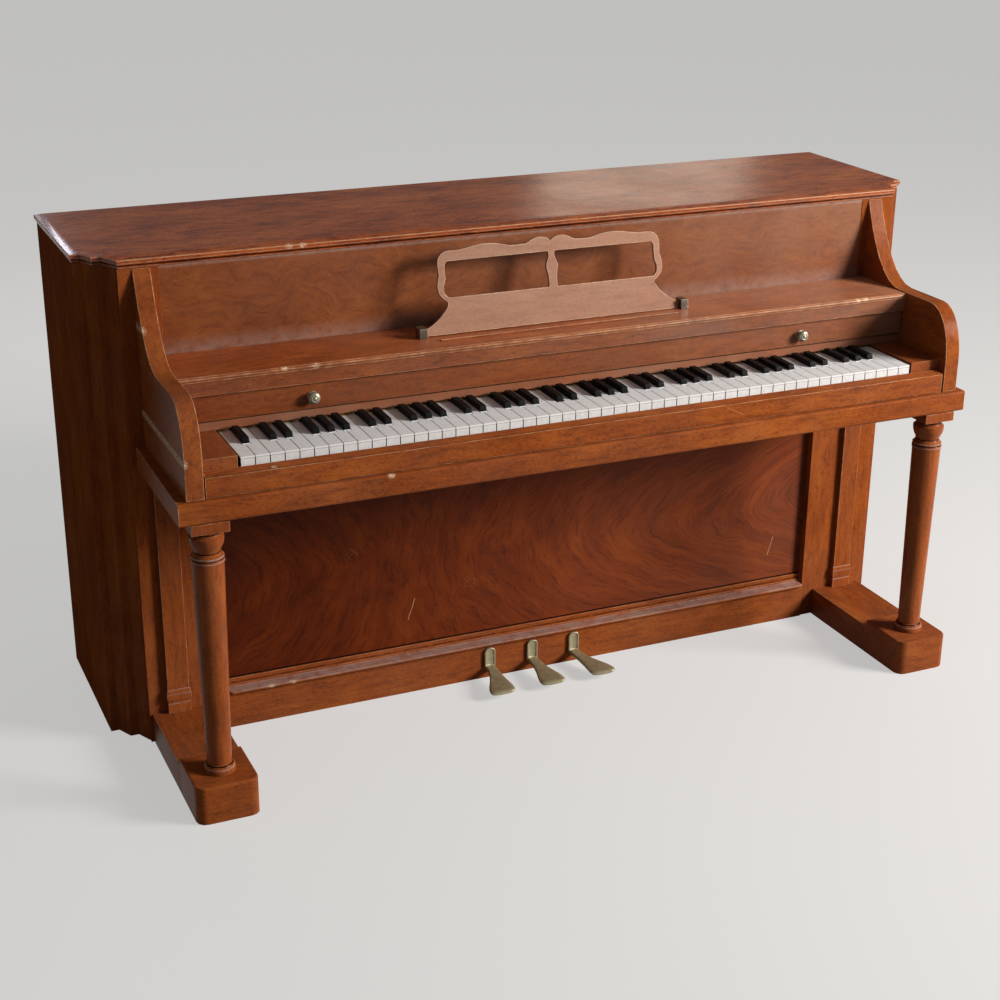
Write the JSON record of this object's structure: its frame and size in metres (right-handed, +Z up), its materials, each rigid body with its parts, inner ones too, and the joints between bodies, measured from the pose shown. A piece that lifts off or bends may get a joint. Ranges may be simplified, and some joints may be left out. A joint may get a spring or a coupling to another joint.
{
  "type": "spinet piano",
  "caption": "Low spinet piano with a lift-up lid, stepped case corners, fretted music desk, sliding fallboard, turned legs, full keyboard and brass pedals.",
  "frame": {"origin": "under the middle of the whole piano, on the floor", "axes": "+X to the treble end, +Y to the back, +Z up"},
  "size_m": [1.5746, 0.6786, 0.8558],
  "materials": {
    "case_wood": "satin",
    "desk_wood": "satin",
    "frame_wood": "matte",
    "spruce": "satin",
    "bronzed_iron": "satin",
    "brass": "satin",
    "white_key": "gloss",
    "black_key": "satin",
    "felt": "matte"
  },
  "bodies": {
    "case": {"case_side_left": "case_wood", "case_side_right": "case_wood", "front_stile_left": "case_wood", "front_stile_right": "case_wood", "pilaster_left": "case_wood", "pilaster_right": "case_wood", "arm_left": "case_wood", "arm_right": "case_wood", "cheek_block_left": "case_wood", "cheek_block_right": "case_wood", "leg_left": "case_wood", "leg_right": "case_wood", "foot_runner_left": "case_wood", "foot_runner_right": "case_wood", "toe_block_left": "case_wood", "toe_block_right": "case_wood", "desk_bracket_left": "brass", "desk_bracket_right": "brass", "keybed": "case_wood", "key_slip": "case_wood", "bottom_rail": "case_wood", "bottom_panel": "case_wood", "upper_panel": "case_wood", "shelf": "case_wood", "nameboard": "case_wood", "lid_hinge_case_leaf": "brass", "key_frame": "frame_wood", "back_frame": "frame_wood", "soundboard": "spruce", "iron_plate": "bronzed_iron", "pin_block": "frame_wood", "action_frame": "frame_wood", "bottom_board": "frame_wood"},
    "lid": {"lid": "case_wood", "lid_hinge_lid_leaf": "brass"},
    "fallboard": {"fallboard": "case_wood", "fallboard_knob_left": "brass", "fallboard_knob_right": "brass"},
    "music_desk": {"music_desk": "desk_wood"},
    "key_c4": {"key_c4": "white_key"},
    "key_c_sharp4": {"key_c_sharp4": "black_key"},
    "key_d4": {"key_d4": "white_key"},
    "key_d_sharp4": {"key_d_sharp4": "black_key"},
    "key_e4": {"key_e4": "white_key"},
    "key_f4": {"key_f4": "white_key"},
    "key_f_sharp4": {"key_f_sharp4": "black_key"},
    "key_g4": {"key_g4": "white_key"},
    "key_g_sharp4": {"key_g_sharp4": "black_key"},
    "key_a4": {"key_a4": "white_key"},
    "key_a_sharp4": {"key_a_sharp4": "black_key"},
    "key_b4": {"key_b4": "white_key"},
    "bass_keys": {"bass_keys": "white_key"},
    "treble_keys": {"treble_keys": "white_key"},
    "pedal_left": {"pedal_left": "brass"},
    "pedal_middle": {"pedal_middle": "brass"},
    "pedal_right": {"pedal_right": "brass"},
    "trap_lever_left": {"trap_lever_left": "frame_wood"},
    "trap_lever_right": {"trap_lever_right": "frame_wood"},
    "hammer_row": {"hammer_row": "felt"},
    "damper_row": {"damper_row": "felt"}
  },
  "joints": [
    {"name": "lid_hinge", "type": "hinge", "parent": "case", "child": "lid", "pos_m": [0, 0.33615, 0.8375], "axis": [-1, 0, 0], "range_deg": [0, 105]},
    {"name": "fallboard_slide", "type": "slide", "parent": "case", "child": "fallboard", "axis": [0, -1, 0], "range_m": [0, 0.118]},
    {"name": "desk_pivot", "type": "hinge", "parent": "case", "child": "music_desk", "pos_m": [0, -0.10935, 0.6995], "axis": [1, 0, 0], "range_deg": [0, 95]},
    {"name": "key_c4_pivot", "type": "hinge", "parent": "case", "child": "key_c4", "pos_m": [0, -0.04635, 0.5735], "axis": [1, 0, 0], "range_deg": [0, 2.34], "stiffness_Nm_per_rad": 1.5, "springref_deg": -9.74},
    {"name": "key_c_sharp4_pivot", "type": "hinge", "parent": "case", "child": "key_c_sharp4", "pos_m": [0, -0.04635, 0.5735], "axis": [1, 0, 0], "range_deg": [0, 2.34], "stiffness_Nm_per_rad": 1.5, "springref_deg": -9.74},
    {"name": "key_d4_pivot", "type": "hinge", "parent": "case", "child": "key_d4", "pos_m": [0, -0.04635, 0.5735], "axis": [1, 0, 0], "range_deg": [0, 2.34], "stiffness_Nm_per_rad": 1.5, "springref_deg": -9.74},
    {"name": "key_d_sharp4_pivot", "type": "hinge", "parent": "case", "child": "key_d_sharp4", "pos_m": [0, -0.04635, 0.5735], "axis": [1, 0, 0], "range_deg": [0, 2.34], "stiffness_Nm_per_rad": 1.5, "springref_deg": -9.74},
    {"name": "key_e4_pivot", "type": "hinge", "parent": "case", "child": "key_e4", "pos_m": [0, -0.04635, 0.5735], "axis": [1, 0, 0], "range_deg": [0, 2.34], "stiffness_Nm_per_rad": 1.5, "springref_deg": -9.74},
    {"name": "key_f4_pivot", "type": "hinge", "parent": "case", "child": "key_f4", "pos_m": [0, -0.04635, 0.5735], "axis": [1, 0, 0], "range_deg": [0, 2.34], "stiffness_Nm_per_rad": 1.5, "springref_deg": -9.74},
    {"name": "key_f_sharp4_pivot", "type": "hinge", "parent": "case", "child": "key_f_sharp4", "pos_m": [0, -0.04635, 0.5735], "axis": [1, 0, 0], "range_deg": [0, 2.34], "stiffness_Nm_per_rad": 1.5, "springref_deg": -9.74},
    {"name": "key_g4_pivot", "type": "hinge", "parent": "case", "child": "key_g4", "pos_m": [0, -0.04635, 0.5735], "axis": [1, 0, 0], "range_deg": [0, 2.34], "stiffness_Nm_per_rad": 1.5, "springref_deg": -9.74},
    {"name": "key_g_sharp4_pivot", "type": "hinge", "parent": "case", "child": "key_g_sharp4", "pos_m": [0, -0.04635, 0.5735], "axis": [1, 0, 0], "range_deg": [0, 2.34], "stiffness_Nm_per_rad": 1.5, "springref_deg": -9.74},
    {"name": "key_a4_pivot", "type": "hinge", "parent": "case", "child": "key_a4", "pos_m": [0, -0.04635, 0.5735], "axis": [1, 0, 0], "range_deg": [0, 2.34], "stiffness_Nm_per_rad": 1.5, "springref_deg": -9.74},
    {"name": "key_a_sharp4_pivot", "type": "hinge", "parent": "case", "child": "key_a_sharp4", "pos_m": [0, -0.04635, 0.5735], "axis": [1, 0, 0], "range_deg": [0, 2.34], "stiffness_Nm_per_rad": 1.5, "springref_deg": -9.74},
    {"name": "key_b4_pivot", "type": "hinge", "parent": "case", "child": "key_b4", "pos_m": [0, -0.04635, 0.5735], "axis": [1, 0, 0], "range_deg": [0, 2.34], "stiffness_Nm_per_rad": 1.5, "springref_deg": -9.74},
    {"name": "bass_keys_pivot", "type": "hinge", "parent": "case", "child": "bass_keys", "pos_m": [0, -0.04635, 0.5735], "axis": [1, 0, 0], "range_deg": [0, 2.34], "stiffness_Nm_per_rad": 35, "springref_deg": -9.74},
    {"name": "treble_keys_pivot", "type": "hinge", "parent": "case", "child": "treble_keys", "pos_m": [0, -0.04635, 0.5735], "axis": [1, 0, 0], "range_deg": [0, 2.34], "stiffness_Nm_per_rad": 35, "springref_deg": -9.74},
    {"name": "pedal_left_pivot", "type": "hinge", "parent": "case", "child": "pedal_left", "pos_m": [-0.0912, 0.00865, 0.036], "axis": [1, 0, 0], "range_deg": [0, 4], "stiffness_Nm_per_rad": 12, "springref_deg": -8.59},
    {"name": "pedal_middle_pivot", "type": "hinge", "parent": "case", "child": "pedal_middle", "pos_m": [-0.005, 0.00865, 0.036], "axis": [1, 0, 0], "range_deg": [0, 4], "stiffness_Nm_per_rad": 12, "springref_deg": -8.59},
    {"name": "pedal_right_pivot", "type": "hinge", "parent": "case", "child": "pedal_right", "pos_m": [0.0812, 0.00865, 0.036], "axis": [1, 0, 0], "range_deg": [0, 4], "stiffness_Nm_per_rad": 12, "springref_deg": -8.59},
    {"name": "trap_lever_left_pivot", "type": "hinge", "parent": "case", "child": "trap_lever_left", "pos_m": [-0.4, 0.10365, 0.053], "axis": [0, -1, 0], "range_deg": [0, 1.5]},
    {"name": "trap_lever_right_pivot", "type": "hinge", "parent": "case", "child": "trap_lever_right", "pos_m": [0.4, 0.10365, 0.053], "axis": [0, 1, 0], "range_deg": [0, 1.5]},
    {"name": "hammer_row_pivot", "type": "hinge", "parent": "case", "child": "hammer_row", "pos_m": [0, 0.14065, 0.6], "axis": [-1, 0, 0], "range_deg": [0, 15.2]},
    {"name": "damper_row_pivot", "type": "hinge", "parent": "case", "child": "damper_row", "pos_m": [0, 0.17065, 0.575], "axis": [1, 0, 0], "range_deg": [0, 3.1]}
  ],
  "couplings": [
    {"joint": "trap_lever_left_pivot", "follows": "pedal_left_pivot", "ratio": 0.345},
    {"joint": "trap_lever_right_pivot", "follows": "pedal_right_pivot", "ratio": 0.345},
    {"joint": "hammer_row_pivot", "follows": "pedal_left_pivot", "ratio": 3.75},
    {"joint": "damper_row_pivot", "follows": "pedal_right_pivot", "ratio": 0.75}
  ]
}
